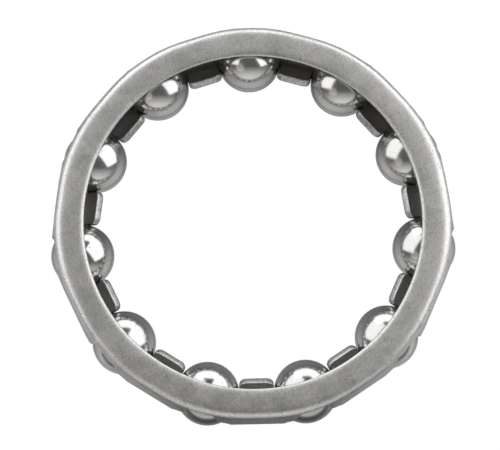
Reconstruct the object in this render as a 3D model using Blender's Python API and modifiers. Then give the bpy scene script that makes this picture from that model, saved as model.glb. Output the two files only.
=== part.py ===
"""Caged ball set of a ball bearing: eleven loose balls held in one pressed-steel cage.

The cage is a flat ring that is bent down round its outer edge. Between the balls, fingers
carry on down from that bend, curl under the ring and rise again inside it, so that each
pair of fingers and the ring above them make an open pocket for one ball.

Frame: +Z is the ring's axis and points to the flat ring. The origin is on that axis, in the
plane that the balls rest on when the set lies flat. The first ball is on +Y.
"""

import math

import bmesh
import bpy

MM = 0.001

# Balls
BALL_COUNT = 11
BALL_RADIUS = 3.175 * MM
PITCH_RADIUS = 17.35 * MM
BALL_SEGMENTS = 24
BALL_RINGS = 12

# Cage: the flat ring and the bend round its outer edge. Heights count from the ball centres.
SHEET = 0.75 * MM
RING_HEIGHT = 4.65 * MM
RING_INNER_RADIUS = 16.65 * MM
RIM_RADIUS = 19.86 * MM
RIM_BEND_RADIUS = 1.00 * MM
RIM_BEND = math.radians(88)

# Cage: the fingers. Each bends down along a straight chord of the rim.
CHORD_DISTANCE = 19.73 * MM
WALL_LENGTH = 3.57 * MM
CURL_RADIUS = 1.65 * MM
CURL_BEND = math.radians(139)
TIP_LENGTH = 2.40 * MM
ROOT_HALF_WIDTH = 3.75 * MM
TIP_HALF_WIDTH = 1.55 * MM
POCKET_CLEARANCE = 0.25 * MM

# Mesh fineness: steps round the ring for each ball, and how many of them a finger spans
STEPS_PER_BALL = 6
FINGER_STEPS = 4
RIM_BEND_STEPS = 3
WALL_STEPS = 3
CURL_STEPS = 6
TIP_STEPS = 2
MERGE_DISTANCE = 0.01 * MM

PITCH_ANGLE = 2 * math.pi / BALL_COUNT
FIRST_BALL_ANGLE = math.pi / 2


def make_material(name, colour, roughness):
    material = bpy.data.materials.new(name)
    material.use_nodes = True
    shader = material.node_tree.nodes["Principled BSDF"]
    shader.inputs["Base Color"].default_value = (*colour, 1.0)
    shader.inputs["Metallic"].default_value = 1.0
    shader.inputs["Roughness"].default_value = roughness
    return material


def straight(path, length, steps):
    """Carry a path straight on. A path lists (distance from the axis, height, heading)."""
    x, z, heading = path[-1]
    for step in range(1, steps + 1):
        along = length * step / steps
        path.append((x + along * math.cos(heading), z + along * math.sin(heading), heading))


def bend(path, radius, angle, steps):
    """Carry a path round a bend to the right of its heading."""
    x, z, heading = path[-1]
    centre_x = x + radius * math.sin(heading)
    centre_z = z - radius * math.cos(heading)
    for step in range(1, steps + 1):
        turned = heading - angle * step / steps
        x = centre_x - radius * math.sin(turned)
        z = centre_z + radius * math.cos(turned)
        path.append((x, z, turned))


def rim_path():
    """Outer face of the flat ring and its bent edge, from the inside outwards and then down."""
    flat_width = RIM_RADIUS - RIM_BEND_RADIUS * math.sin(RIM_BEND) - RING_INNER_RADIUS
    path = [(RING_INNER_RADIUS, RING_HEIGHT, 0.0)]
    straight(path, flat_width, 1)
    bend(path, RIM_BEND_RADIUS, RIM_BEND, RIM_BEND_STEPS)
    return path


def finger_path():
    """Outer face of a finger, from just below the rim to its tip."""
    _, edge_height, heading = rim_path()[-1]
    path = [(CHORD_DISTANCE, edge_height, heading)]
    straight(path, WALL_LENGTH, WALL_STEPS)
    bend(path, CURL_RADIUS, CURL_BEND, CURL_STEPS)
    straight(path, TIP_LENGTH, TIP_STEPS)
    return path[1:]


def finger_half_width(x, z, heading):
    """Half the finger's width where its outer face passes (x, z).

    The pocket follows the balls: the sheet's inner face keeps the clearance to both of them.
    """
    inner_x = x + SHEET * math.sin(heading)
    inner_z = z - SHEET * math.cos(heading)
    ball_x = PITCH_RADIUS * math.cos(PITCH_ANGLE / 2)
    ball_y = PITCH_RADIUS * math.sin(PITCH_ANGLE / 2)
    reach = (BALL_RADIUS + POCKET_CLEARANCE) ** 2 - (inner_x - ball_x) ** 2 - inner_z**2
    if reach <= 0:
        return ROOT_HALF_WIDTH
    rises_inside_ring = heading < -math.pi
    widest = TIP_HALF_WIDTH if rises_inside_ring else ROOT_HALF_WIDTH
    return min(widest, ball_y - math.sqrt(reach))


def turned_rim():
    """The rim's outer face, as an open surface of revolution with a step on each ball."""
    path = rim_path()
    profile = bpy.data.meshes.new("cage")
    edges = [(start, start + 1) for start in range(len(path) - 1)]
    profile.from_pydata([(x, 0.0, z) for x, z, _ in path], edges, [])
    turned = bpy.data.objects.new("rim_profile", profile)
    bpy.context.scene.collection.objects.link(turned)
    screw = turned.modifiers.new("Turn", "SCREW")
    screw.steps = STEPS_PER_BALL * BALL_COUNT
    screw.render_steps = screw.steps
    screw.use_merge_vertices = True
    screw.merge_threshold = MERGE_DISTANCE
    depsgraph = bpy.context.evaluated_depsgraph_get()
    mesh = bpy.data.meshes.new_from_object(turned.evaluated_get(depsgraph))
    bpy.data.objects.remove(turned)
    return mesh


def flatten_bend_lines(bm):
    """Move the bent edge in to a straight chord wherever a finger hangs from it."""
    for vert in bm.verts:
        radius = math.hypot(vert.co.x, vert.co.y)
        if radius < RING_INNER_RADIUS + MERGE_DISTANCE:
            continue
        off_chord = math.atan2(vert.co.y, vert.co.x) % PITCH_ANGLE - PITCH_ANGLE / 2
        inwards = max(0.0, RIM_RADIUS - CHORD_DISTANCE / math.cos(off_chord))
        vert.co.x *= 1 - inwards / radius
        vert.co.y *= 1 - inwards / radius


def grow_finger(bm, number):
    """Extrude the rim's lower edge along the finger's path, setting each row's width."""
    middle = PITCH_ANGLE * (number + 0.5)
    half_span = PITCH_ANGLE * FINGER_STEPS / STEPS_PER_BALL / 2
    _, edge_height, _ = rim_path()[-1]

    def off_middle(vert):
        turn = math.atan2(vert.co.y, vert.co.x) - middle
        return math.remainder(turn, 2 * math.pi)

    def on_root(vert):
        at_edge = abs(vert.co.z - edge_height) < MERGE_DISTANCE
        return at_edge and abs(off_middle(vert)) < 1.01 * half_span

    row = [edge for edge in bm.edges if all(on_root(vert) for vert in edge.verts)]
    for x, z, heading in finger_path():
        grown = bmesh.ops.extrude_edge_only(bm, edges=row)["geom"]
        row = [item for item in grown if isinstance(item, bmesh.types.BMEdge)]
        verts = [item for item in grown if isinstance(item, bmesh.types.BMVert)]
        verts.sort(key=off_middle)
        half_width = finger_half_width(x, z, heading)
        for place, vert in enumerate(verts):
            y = half_width * (2 * place / FINGER_STEPS - 1)
            vert.co.x = x * math.cos(middle) - y * math.sin(middle)
            vert.co.y = x * math.sin(middle) + y * math.cos(middle)
            vert.co.z = z


def build_cage(collection, material):
    mesh = turned_rim()
    bm = bmesh.new()
    bm.from_mesh(mesh)
    flatten_bend_lines(bm)
    for number in range(BALL_COUNT):
        grow_finger(bm, number)
    bmesh.ops.recalc_face_normals(bm, faces=bm.faces)
    bm.to_mesh(mesh)
    bm.free()
    mesh.materials.append(material)
    mesh.shade_smooth()
    mesh.set_sharp_from_angle(angle=math.radians(40))
    cage = bpy.data.objects.new("cage", mesh)
    collection.objects.link(cage)
    cage.location.z = BALL_RADIUS
    cage.rotation_euler.z = FIRST_BALL_ANGLE
    sheet = cage.modifiers.new("Sheet", "SOLIDIFY")
    sheet.thickness = SHEET
    sheet.offset = -1.0
    sheet.use_even_offset = True


def build_balls(collection, material):
    """Eleven copies of one ball, each with its origin at its own centre."""
    bpy.ops.mesh.primitive_uv_sphere_add(
        segments=BALL_SEGMENTS, ring_count=BALL_RINGS, radius=BALL_RADIUS
    )
    pattern = bpy.context.object
    mesh = pattern.data
    mesh.materials.append(material)
    mesh.shade_smooth()
    bpy.data.objects.remove(pattern)
    for number in range(BALL_COUNT):
        angle = FIRST_BALL_ANGLE + PITCH_ANGLE * number
        ball = bpy.data.objects.new(f"ball_{number + 1:02d}", mesh)
        collection.objects.link(ball)
        ball.location.x = PITCH_RADIUS * math.cos(angle)
        ball.location.y = PITCH_RADIUS * math.sin(angle)
        ball.location.z = BALL_RADIUS


def main():
    for old in list(bpy.data.objects):
        bpy.data.objects.remove(old)
    collection = bpy.data.collections.new("caged_ball_set")
    bpy.context.scene.collection.children.link(collection)
    build_cage(collection, make_material("cage_steel", (0.52, 0.52, 0.51), 0.42))
    build_balls(collection, make_material("ball_steel", (0.72, 0.72, 0.72), 0.08))


main()
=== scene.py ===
"""The looks of the caged ball set: its rounded sheet-metal cage, polished balls and a studio.

The sizes come from the frame. The cage is modelled as the outer face of its sheet, given
thickness with Solidify and rounded like tumbled metal with Subdivision Surface.
"""

import math

import bmesh
import bpy
from mathutils import Matrix, Vector


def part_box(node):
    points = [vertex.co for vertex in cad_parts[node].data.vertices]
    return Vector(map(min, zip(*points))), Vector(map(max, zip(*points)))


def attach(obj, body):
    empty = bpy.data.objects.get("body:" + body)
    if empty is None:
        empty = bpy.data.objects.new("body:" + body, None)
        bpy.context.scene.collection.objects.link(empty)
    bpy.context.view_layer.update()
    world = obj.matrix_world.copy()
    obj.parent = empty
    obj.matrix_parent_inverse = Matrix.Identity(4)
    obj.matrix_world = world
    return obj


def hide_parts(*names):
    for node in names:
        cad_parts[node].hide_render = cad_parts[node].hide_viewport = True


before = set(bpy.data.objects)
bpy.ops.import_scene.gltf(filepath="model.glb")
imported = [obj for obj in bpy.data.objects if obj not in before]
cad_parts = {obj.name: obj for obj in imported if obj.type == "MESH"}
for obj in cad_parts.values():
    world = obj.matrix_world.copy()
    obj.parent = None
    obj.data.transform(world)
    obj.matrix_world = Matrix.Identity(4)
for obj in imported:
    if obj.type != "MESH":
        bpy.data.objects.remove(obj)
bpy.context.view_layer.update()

MM = 0.001

# From the frame: the balls, the top of the ring and the reach of the fingers' flat walls
BALL_COUNT = sum(name.startswith("ball_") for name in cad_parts)
BALL_LOW, BALL_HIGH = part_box("ball_01")
BALL_CENTRE = (BALL_LOW + BALL_HIGH) / 2
BALL_RADIUS = (BALL_HIGH.z - BALL_LOW.z) / 2
PITCH_RADIUS = math.hypot(BALL_CENTRE.x, BALL_CENTRE.y)
FIRST_BALL_ANGLE = math.atan2(BALL_CENTRE.y, BALL_CENTRE.x)
PITCH_ANGLE = 2 * math.pi / BALL_COUNT
CAGE_LOW, CAGE_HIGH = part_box("cage")
RIM_RADIUS = -CAGE_LOW.y

# The cage's sheet, along its outer face
SHEET = 0.75 * MM
EDGE_COLUMN = 0.22 * MM
BORE_ROLL_RADIUS = 1.1 * MM
BORE_ROLL = math.radians(34)
RING_WIDTH = 3.20 * MM
RING_CROWN_RADIUS = 28 * MM
RIM_BEND_RADIUS = 0.90 * MM
RIM_BEND = math.radians(88)
CHORD_INSET = 0.13 * MM
WALL_LENGTH = 3.57 * MM
CURL_RADIUS = 1.66 * MM
CURL_BEND = math.radians(139)
TIP_LENGTH = 2.48 * MM

# The fingers' half widths: they hug the balls on both sides
ROOT_HALF_WIDTH = 4.05 * MM
ROOT_FLARE = 0.45 * MM
FLARE_HEIGHT = 0.40 * MM
TIP_HALF_WIDTH = 1.66 * MM
TIP_FLARE = 0.54 * MM
TIP_CORNER_WIDTH = 0.60 * MM
TIP_CORNER_LENGTH = 0.46 * MM
POCKET_CLEARANCE = 0.04 * MM
FLATTENING_HEIGHT = 1.4 * MM

# Mesh steps of the cage's sheet, before it is subdivided. The last rows of a tip are shares of
# its rounded corner's length.
FINGER_COLUMNS = 8
GAP_COLUMNS = 4
BORE_ROLL_STEPS = 2
CROWN_STEPS = 2
RIM_BEND_STEPS = 4
WALL_STEPS = 4
CURL_STEPS = 7
TIP_STEPS = 3
TIP_CORNER_ROWS = (0.5, 0.35, 0.15)
SUBDIVISIONS = 2
BALL_SUBDIVISIONS = 6

# Camera: where it stands as seen from the ring's centre, and where it aims in the picture
CAMERA_TILT = math.radians(10.46)
CAMERA_TURN = math.radians(-1.28)
CAMERA_DISTANCE = 260 * MM
CAMERA_AIM = (-0.29 * MM, 0.34 * MM)
CAMERA_LENS = 185.6

# Studio
FLOOR_SIZE = 5.0
# The floor as the metal sees it, with painted light and shade: brighter looking front than back, a
# painted shadow in front of the ring and a darker line at one steepness
FLOOR_LOOKING_FRONT = 0.78
FLOOR_LOOKING_BACK = 0.26
FLOOR_PAINTED_SHADOW = 0.12
FLOOR_DARK_LINE_STEEPNESS = 0.766
ROOM_RADIANCE = 0.12
FRONT_WALL_RADIANCE = 0.82
FRONT_WALL_DIRECTION = (0.0, -0.943, -0.333)

# Steel
CAGE_COLOUR = (0.69, 0.682, 0.669)
CAGE_ROUGHNESS = 0.41
# How much brighter the steel's colour is painted on the bends, as a painted highlight
PAINTED_HIGHLIGHT_GAIN = 1.25
# Reach of the ambient occlusion that paints shade into the cage's hollows
PAINTED_SHADE_REACH = 5 * MM
CAGE_RELIEF = 0.003 * MM
ROLLING_TURN = math.radians(-12)
NICK_TURN = math.radians(25)
BALL_COLOUR = (0.72, 0.715, 0.705)
BALL_ROUGHNESS = 0.17
BALL_RELIEF = 0.0002 * MM


def lay_straight(path, length, steps):
    """Carry a path straight on. A path lists (distance from the axis, height, heading)."""
    x, z, heading = path[-1]
    for step in range(1, steps + 1):
        along = length * step / steps
        path.append((x + along * math.cos(heading), z + along * math.sin(heading), heading))


def lay_bend(path, radius, angle, steps):
    """Carry a path round a bend to the right of its heading."""
    x, z, heading = path[-1]
    centre_x = x + radius * math.sin(heading)
    centre_z = z - radius * math.cos(heading)
    for step in range(1, steps + 1):
        turned = heading - angle * step / steps
        x = centre_x - radius * math.sin(turned)
        z = centre_z + radius * math.cos(turned)
        path.append((x, z, turned))


def ring_path():
    """Outer face of the crowned ring and its bent rim, from the bore out and down."""
    roll_width = BORE_ROLL_RADIUS * math.sin(BORE_ROLL)
    crown_width = RING_WIDTH - roll_width - RIM_BEND_RADIUS * math.sin(RIM_BEND)
    crown = crown_width / RING_CROWN_RADIUS
    path = [(0.0, 0.0, crown / 2 + BORE_ROLL)]
    lay_bend(path, BORE_ROLL_RADIUS, BORE_ROLL, BORE_ROLL_STEPS)
    lay_bend(path, RING_CROWN_RADIUS, crown, CROWN_STEPS)
    lay_bend(path, RIM_BEND_RADIUS, RIM_BEND - crown / 2, RIM_BEND_STEPS)
    shift_x = RIM_RADIUS - path[-1][0]
    shift_z = CAGE_HIGH.z - max(z for _, z, _ in path)
    return [(x + shift_x, z + shift_z, heading) for x, z, heading in path]


def finger_path():
    """Outer face of a finger, from below the rim, round its curl and up to its tip."""
    _, rim_height, heading = ring_path()[-1]
    path = [(RIM_RADIUS - CHORD_INSET, rim_height, heading)]
    lay_straight(path, FLARE_HEIGHT, 1)
    lay_straight(path, WALL_LENGTH - FLARE_HEIGHT, WALL_STEPS)
    lay_bend(path, CURL_RADIUS, CURL_BEND, CURL_STEPS)
    lay_straight(path, TIP_LENGTH - TIP_CORNER_LENGTH, TIP_STEPS)
    for share in TIP_CORNER_ROWS:
        lay_straight(path, share * TIP_CORNER_LENGTH, 1)
    return path[1:]


def finger_half_width(x, z, heading):
    """Half the finger's width where its outer face passes (x, z).

    It clears the balls, and the tip widens a little towards its root and has rounded corners.
    """
    inner_x = x + SHEET * math.sin(heading)
    above_balls = z - BALL_CENTRE.z - SHEET * math.cos(heading)
    ball_x = PITCH_RADIUS * math.cos(PITCH_ANGLE / 2)
    ball_y = PITCH_RADIUS * math.sin(PITCH_ANGLE / 2)
    reach = (BALL_RADIUS + POCKET_CLEARANCE) ** 2 - (inner_x - ball_x) ** 2 - above_balls**2
    widest = ROOT_HALF_WIDTH
    tip_x, tip_z, tip_heading = finger_path()[-1]
    if heading == tip_heading:
        to_tip = math.dist((x, z), (tip_x, tip_z))
        into_corner = max(0.0, 1 - to_tip / TIP_CORNER_LENGTH)
        corner = TIP_CORNER_WIDTH * (1 - math.sqrt(1 - into_corner**2))
        widest = TIP_HALF_WIDTH + TIP_FLARE * to_tip / TIP_LENGTH - corner
    if reach <= 0:
        return widest
    return min(widest, ball_y - math.sqrt(reach))


def across(half_width):
    """Places of a finger's columns across its width, with a narrow column along each side."""
    inner = half_width - EDGE_COLUMN
    steps = FINGER_COLUMNS - 2
    middle = [inner * (2 * step / steps - 1) for step in range(steps + 1)]
    return [-half_width] + middle + [half_width]


def rim_inset(off_middle):
    """How far the round rim draws in where a finger's straight bend line cuts across it."""
    chord = (RIM_RADIUS - CHORD_INSET) / math.cos(off_middle)
    return max(0.0, RIM_RADIUS - chord)


def finger_point(middle, x, y, z, below_rim):
    """A point of a finger's outer face, which is round at the rim and flattens below it."""
    round_x = math.sqrt(RIM_RADIUS**2 - y**2)
    still_round = max(0.0, 1 - below_rim / FLATTENING_HEIGHT) ** 2
    x += min(0.0, round_x - (RIM_RADIUS - CHORD_INSET)) * still_round
    turn = Matrix.Rotation(middle, 3, "Z")
    return turn @ Vector((x, y, z))


def bridge(bm, upper, lower, closed):
    """Quads between two rows of points, facing out of the sheet."""
    count = len(upper)
    for at in range(count if closed else count - 1):
        after = (at + 1) % count
        bm.faces.new((upper[at], lower[at], lower[after], upper[after]))


def sheet_surface():
    """The cage's outer face: the ring all round, then the eleven fingers.

    Two attributes are for the material: "sheared" is 1 along the sheet's edges, and the other
    is 1 where the ring bends over at its rim and its bore, where it paints a highlight.
    """
    bm = bmesh.new()
    sheared = bm.verts.layers.float.new("sheared")
    painted_highlight = bm.verts.layers.float.new("painted_highlight")
    root = [math.asin(y / RIM_RADIUS) for y in across(ROOT_HALF_WIDTH + ROOT_FLARE)]
    gap = PITCH_ANGLE - 2 * root[-1]
    between = [root[-1] + gap * step / GAP_COLUMNS for step in range(1, GAP_COLUMNS)]
    bore = ring_path()[0][0]
    previous = None
    for x, z, heading in ring_path():
        row = []
        share = (x - bore) / (RIM_RADIUS - bore)
        for number in range(BALL_COUNT):
            middle = FIRST_BALL_ANGLE + PITCH_ANGLE * (number + 0.5)
            for off in root + between:
                radius = x - rim_inset(min(off, PITCH_ANGLE - off)) * share
                angle = middle + off
                row.append(bm.verts.new((radius * math.cos(angle), radius * math.sin(angle), z)))
        # Painted highlight: strongest halfway round each bend, where the camera sees the bends'
        # highlights
        for vert in row:
            vert[painted_highlight] = abs(math.sin(2 * heading))
        if previous:
            bridge(bm, previous, row, closed=True)
        previous = row
    rim_height = ring_path()[-1][1]
    columns = len(root) + len(between)
    for number in range(BALL_COUNT):
        middle = FIRST_BALL_ANGLE + PITCH_ANGLE * (number + 0.5)
        upper = previous[number * columns : number * columns + len(root)]
        for place, (x, z, heading) in enumerate(finger_path()):
            places = across(finger_half_width(x, z, heading))
            below = rim_height - z if heading > -math.pi / 2 else FLATTENING_HEIGHT
            lower = [bm.verts.new(finger_point(middle, x, y, z, below)) for y in places]
            bridge(bm, upper, lower, closed=False)
            upper = lower
    for vert in bm.verts:
        vert[sheared] = float(vert.is_boundary)
    mesh = bpy.data.meshes.new("cage_pressing")
    bm.to_mesh(mesh)
    bm.free()
    return mesh


def build_cage(material):
    mesh = sheet_surface()
    mesh.materials.append(material)
    mesh.shade_smooth()
    cage = bpy.data.objects.new("cage_pressing", mesh)
    bpy.context.scene.collection.objects.link(cage)
    sheet = cage.modifiers.new("Sheet", "SOLIDIFY")
    sheet.thickness = SHEET
    sheet.offset = -1.0
    sheet.use_even_offset = True
    rounding = cage.modifiers.new("Rounding", "SUBSURF")
    rounding.levels = SUBDIVISIONS
    rounding.render_levels = SUBDIVISIONS
    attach(cage, "cage")
    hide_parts("cage")


def build_balls(material):
    bm = bmesh.new()
    bmesh.ops.create_icosphere(bm, subdivisions=BALL_SUBDIVISIONS, radius=BALL_RADIUS)
    mesh = bpy.data.meshes.new("polished_ball")
    bm.to_mesh(mesh)
    bm.free()
    mesh.materials.append(material)
    mesh.shade_smooth()
    for number in range(1, BALL_COUNT + 1):
        node = f"ball_{number:02d}"
        low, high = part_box(node)
        ball = bpy.data.objects.new(f"polished_{node}", mesh)
        bpy.context.scene.collection.objects.link(ball)
        ball.location = (low + high) / 2
        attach(ball, node)
        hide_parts(node)


def new_material(name):
    material = bpy.data.materials.new(name)
    material.use_nodes = True
    return material, material.node_tree, material.node_tree.nodes["Principled BSDF"]


def add_node(tree, kind, **inputs):
    """A shader node with some of its inputs set. An underscore stands for a space in a name."""
    made = tree.nodes.new("ShaderNode" + kind)
    for name, value in inputs.items():
        made.inputs[name.replace("_", " ")].default_value = value
    return made


def grain(tree, coordinates, size, turn=0.0, detail=3.0, roughness=0.6):
    """Noise whose grains have the given size along x, y and z, turned about the ring's axis."""
    mapping = add_node(tree, "Mapping", Scale=size)
    mapping.vector_type = "TEXTURE"
    mapping.inputs["Rotation"].default_value[2] = turn
    texture = add_node(tree, "TexNoise", Scale=1.0, Detail=detail, Roughness=roughness)
    tree.links.new(coordinates, mapping.inputs["Vector"])
    tree.links.new(mapping.outputs["Vector"], texture.inputs["Vector"])
    return texture.outputs[0]


def remap(tree, value, low, high, to_low, to_high):
    """Turn values from low to high into values from to_low to to_high, and clamp the rest."""
    scale = add_node(
        tree, "MapRange", From_Min=low, From_Max=high, To_Min=to_low, To_Max=to_high
    )
    tree.links.new(value, scale.inputs["Value"])
    return scale.outputs["Result"]


def combine(tree, operation, *values):
    """Join values with a math operation, one after another."""
    joined = values[0]
    for value in values[1:]:
        step = add_node(tree, "Math")
        step.operation = operation
        for socket, side in zip(step.inputs, (joined, value)):
            if isinstance(side, float):
                socket.default_value = side
            else:
                tree.links.new(side, socket)
        joined = step.outputs[0]
    return joined


def tint(tree, shader, colour, brightness):
    """Give the shader a colour that a brightness scales."""
    scaled = add_node(tree, "VectorMath")
    scaled.operation = "SCALE"
    scaled.inputs[0].default_value = colour
    tree.links.new(brightness, scaled.inputs["Scale"])
    tree.links.new(scaled.outputs[0], shader.inputs["Base Color"])


def relief(tree, shader, height, depth):
    """Bump the surface by a height of 0 to 1 times depth."""
    bump = add_node(tree, "Bump", Strength=1.0, Distance=depth)
    tree.links.new(height, bump.inputs["Height"])
    tree.links.new(bump.outputs["Normal"], shader.inputs["Normal"])


def cage_steel():
    """Rolled sheet steel, tumbled after pressing: grain, pits, scratches and streaked edges, with
    painted shade in its hollows and a painted highlight on its bends.
    """
    material, tree, shader = new_material("cage_steel")
    shader.inputs["Metallic"].default_value = 1.0
    place = add_node(tree, "TexCoord").outputs["Object"]
    rolled = grain(tree, place, (0.10 * MM, 0.60 * MM, 0.30 * MM), turn=ROLLING_TURN)
    speckle = grain(tree, place, (0.16 * MM, 0.20 * MM, 0.16 * MM), detail=1.0)
    mottle = grain(tree, place, (1.7 * MM, 1.7 * MM, 1.7 * MM), detail=3.0)
    clouds = grain(tree, place, (6 * MM, 6 * MM, 6 * MM), detail=1.0)
    pits = grain(tree, place, (0.13 * MM, 0.16 * MM, 0.13 * MM), detail=0.0)
    nicks = combine(
        tree,
        "MAXIMUM",
        grain(tree, place, (0.08 * MM, 2.2 * MM, 0.3 * MM), turn=NICK_TURN, detail=0.0),
        grain(tree, place, (1.8 * MM, 0.08 * MM, 0.3 * MM), turn=NICK_TURN, detail=0.0),
    )
    # Painted shade: ambient occlusion darkens the steel's colour inside the fingers and under the
    # ring
    painted_cavity_shade = add_node(tree, "AmbientOcclusion", Distance=PAINTED_SHADE_REACH).outputs["AO"]
    sheared = add_node(tree, "Attribute")
    sheared.attribute_name = "sheared"
    painted_highlight = add_node(tree, "Attribute")
    painted_highlight.attribute_name = "painted_highlight"
    torn = grain(tree, place, (0.16 * MM, 0.16 * MM, 1.2 * MM))
    torn = remap(tree, torn, 0.35, 0.65, -0.50, 0.10)
    worn = remap(tree, mottle, 0.35, 0.6, 0.4, 1.0)
    worn = combine(tree, "MULTIPLY", sheared.outputs["Fac"], worn)
    pitted = remap(tree, pits, 0.70, 0.76, 1.0, 0.65)
    nicked = remap(tree, nicks, 0.76, 0.80, 1.0, 0.62)
    brightness = combine(
        tree,
        "MULTIPLY",
        remap(tree, rolled, 0.3, 0.7, 0.86, 1.13),
        remap(tree, speckle, 0.3, 0.7, 0.93, 1.06),
        remap(tree, mottle, 0.3, 0.7, 0.97, 1.03),
        remap(tree, clouds, 0.35, 0.65, 0.97, 1.03),
        # painted shade in the hollows
        remap(tree, painted_cavity_shade, 0.20, 0.70, 0.58, 1.0),
        combine(tree, "ADD", 1.0, combine(tree, "MULTIPLY", worn, torn)),
        # painted highlight on the bends
        remap(tree, painted_highlight.outputs["Fac"], 0.0, 1.0, 1.0, PAINTED_HIGHLIGHT_GAIN),
        pitted,
        nicked,
    )
    tint(tree, shader, CAGE_COLOUR, brightness)
    roughness = combine(
        tree,
        "ADD",
        remap(tree, mottle, 0.3, 0.7, CAGE_ROUGHNESS - 0.04, CAGE_ROUGHNESS + 0.04),
        remap(tree, rolled, 0.3, 0.7, -0.03, 0.03),
        remap(tree, worn, 0.0, 1.0, 0.0, -0.05),
    )
    tree.links.new(roughness, shader.inputs["Roughness"])
    relief(tree, shader, combine(tree, "MULTIPLY", rolled, pitted, nicked), CAGE_RELIEF)
    return material


def ball_steel():
    """Hardened and lapped steel: a mirror with specks, faint lapping marks and a haze of oil."""
    material, tree, shader = new_material("ball_steel")
    shader.inputs["Metallic"].default_value = 1.0
    coordinates = add_node(tree, "TexCoord").outputs["Object"]
    own_place = add_node(tree, "ObjectInfo").outputs["Location"]
    shifted = add_node(tree, "VectorMath")
    tree.links.new(coordinates, shifted.inputs[0])
    tree.links.new(own_place, shifted.inputs[1])
    place = shifted.outputs[0]
    specks = grain(tree, place, (0.13 * MM, 0.13 * MM, 0.13 * MM), detail=0.0)
    haze = grain(tree, place, (2.5 * MM, 2.5 * MM, 2.5 * MM), detail=3.0)
    lapping = grain(tree, place, (0.12 * MM, 3.0 * MM, 3.0 * MM), turn=0.6, detail=2.0)
    speckled = remap(tree, specks, 0.76, 0.80, 0.0, 1.0)
    tint(tree, shader, BALL_COLOUR, remap(tree, speckled, 0.0, 1.0, 1.0, 0.45))
    roughness = combine(
        tree,
        "ADD",
        remap(tree, haze, 0.35, 0.7, BALL_ROUGHNESS - 0.03, BALL_ROUGHNESS + 0.03),
        remap(tree, speckled, 0.0, 1.0, 0.0, 0.35),
    )
    tree.links.new(roughness, shader.inputs["Roughness"])
    relief(tree, shader, lapping, BALL_RELIEF)
    return material


def floor_white():
    """A floor that is pure white to the camera and grey, with painted light and shade, to the
    metal.

    Its grey is painted brighter for rays that run towards the front or steeply down and darker
    for rays that run towards the back, a painted shadow lies on the ground just in front of the
    ring, and a darker line is seen at one steepness.
    """
    material, tree, shader = new_material("floor_white")
    shader.inputs["Roughness"].default_value = 0.8
    geometry = add_node(tree, "NewGeometry")
    place = add_node(tree, "SeparateXYZ")
    tree.links.new(geometry.outputs["Position"], place.inputs[0])
    towards_ray = add_node(tree, "SeparateXYZ")
    tree.links.new(geometry.outputs["Incoming"], towards_ray.inputs[0])
    seen = add_node(tree, "LightPath").outputs["Is Camera Ray"]
    steepness = towards_ray.outputs["Z"]
    # A darker line in the floor's grey for rays at one steepness
    off_dark_line = combine(tree, "SUBTRACT", steepness, FLOOR_DARK_LINE_STEEPNESS)
    off_dark_line = combine(tree, "ABSOLUTE", off_dark_line, 0.0)
    # Painted shadow on the ground just in front of the ring, which only the metal sees
    painted_shadow_in_front = remap(tree, place.outputs["Y"], -24 * MM, -17 * MM, FLOOR_PAINTED_SHADOW, 1.0)
    ahead_of_ring = remap(tree, place.outputs["Y"], -38 * MM, -27 * MM, 0.9, 0.0)
    brightness = combine(
        tree,
        "MULTIPLY",
        # painted light: brighter for rays towards the front, darker towards the back
        remap(tree, towards_ray.outputs["Y"], -0.6, 0.4, FLOOR_LOOKING_BACK, FLOOR_LOOKING_FRONT),
        combine(tree, "MAXIMUM", painted_shadow_in_front, ahead_of_ring),
        # darker line at one steepness
        remap(tree, off_dark_line, 0.02, 0.06, 0.5, 1.0),
        # painted light: brighter for steeper rays
        remap(tree, steepness, 0.2, 0.9, 1.1, 1.35),
        remap(tree, seen, 0.0, 1.0, 1.0, 0.0),
    )
    tint(tree, shader, (1.0, 1.0, 1.0), brightness)
    shader.inputs["Emission Color"].default_value = (1.0, 1.0, 1.0, 1.0)
    tree.links.new(seen, shader.inputs["Emission Strength"])
    return material


def build_floor():
    bpy.ops.mesh.primitive_plane_add(size=FLOOR_SIZE, location=(0, 0, 0))
    floor = bpy.context.object
    floor.name = "floor"
    floor.data.materials.append(floor_white())


def softbox(name, azimuth, elevation, roll, width, height, distance, radiance):
    """A rectangular light facing the object. Azimuth 0 is behind it, 90 on its left."""
    light = bpy.data.lights.new(name, "AREA")
    light.shape = "RECTANGLE"
    light.size = width
    light.size_y = height
    light.energy = radiance * math.pi * width * height
    lamp = bpy.data.objects.new(name, light)
    lamp.visible_camera = False
    bpy.context.scene.collection.objects.link(lamp)
    turn, rise = math.radians(azimuth), math.radians(elevation)
    outwards = math.cos(rise)
    away = Vector((-math.sin(turn) * outwards, math.cos(turn) * outwards, math.sin(rise)))
    facing = away.to_track_quat("Z", "Y").to_matrix().to_4x4()
    rolled = Matrix.Rotation(math.radians(roll), 4, "Z")
    lamp.matrix_world = Matrix.Translation(away * distance) @ facing @ rolled
    return light


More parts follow.
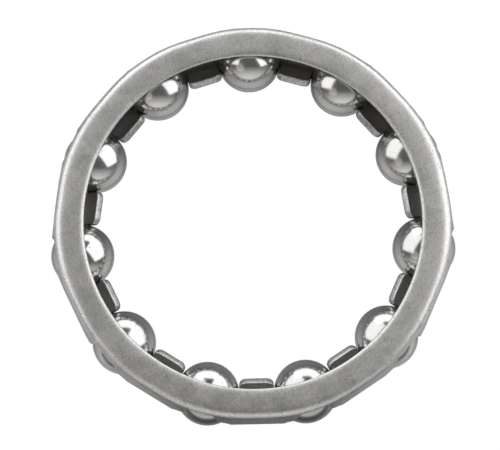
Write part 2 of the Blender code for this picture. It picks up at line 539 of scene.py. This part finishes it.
def build_lights():
    softbox(
        "softbox_left",
        azimuth=63,
        elevation=36,
        roll=-12,
        width=1.20,
        height=0.85,
        distance=0.8,
        radiance=1.15,
    )
    softbox(
        "softbox_right",
        azimuth=-70,
        elevation=33,
        roll=28,
        width=0.305,
        height=0.325,
        distance=0.24,
        radiance=1.33,
    )
    softbox(
        "softbox_back",
        azimuth=0,
        elevation=23,
        roll=0,
        width=0.62,
        height=0.32,
        distance=0.5,
        radiance=1.30,
    )
    warm_card = softbox(
        "warm_card",
        azimuth=132,
        elevation=41,
        roll=0,
        width=0.27,
        height=0.27,
        distance=0.5,
        radiance=0.24,
    )
    warm_card.shape = "DISK"
    warm_card.color = (1.0, 0.83, 0.77)


def build_world():
    """A dark room over the object that is bright low down in front, with a dark skirting."""
    world = bpy.data.worlds.new("studio")
    bpy.context.scene.world = world
    world.use_nodes = True
    tree = world.node_tree
    direction = add_node(tree, "TexCoord").outputs["Generated"]
    to_front = add_node(tree, "VectorMath")
    to_front.operation = "DOT_PRODUCT"
    to_front.inputs[1].default_value = FRONT_WALL_DIRECTION
    tree.links.new(direction, to_front.inputs[0])
    split = add_node(tree, "SeparateXYZ")
    tree.links.new(direction, split.inputs[0])
    brighter = FRONT_WALL_RADIANCE - ROOM_RADIANCE
    wall = remap(tree, to_front.outputs["Value"], 0.25, 0.85, 0.0, brighter)
    above_skirting = remap(tree, split.outputs["Z"], 0.03, 0.05, 0.0, 1.0)
    radiance = combine(tree, "ADD", combine(tree, "MULTIPLY", wall, above_skirting), ROOM_RADIANCE)
    tree.links.new(radiance, tree.nodes["Background"].inputs["Strength"])
    tree.nodes["Background"].inputs["Color"].default_value = (1.0, 1.0, 1.0, 1.0)


def build_camera():
    right = Vector((math.cos(CAMERA_TURN), math.sin(CAMERA_TURN), 0))
    forward = Vector((-math.sin(CAMERA_TURN), math.cos(CAMERA_TURN), 0))
    back = math.cos(CAMERA_TILT) * Vector((0, 0, 1)) - math.sin(CAMERA_TILT) * forward
    up = back.cross(right)
    camera = bpy.data.objects.new("camera", bpy.data.cameras.new("camera"))
    bpy.context.scene.collection.objects.link(camera)
    aim = Vector((0, 0, BALL_CENTRE.z)) + CAMERA_AIM[0] * right + CAMERA_AIM[1] * up
    turned = Matrix((right, up, back)).transposed().to_4x4()
    camera.matrix_world = Matrix.Translation(aim + back * CAMERA_DISTANCE) @ turned
    camera.data.lens = CAMERA_LENS
    camera.data.clip_start = 0.01
    bpy.context.scene.camera = camera


build_cage(cage_steel())
build_balls(ball_steel())
build_floor()
build_lights()
build_world()
build_camera()
bpy.context.scene.view_settings.view_transform = "Standard"
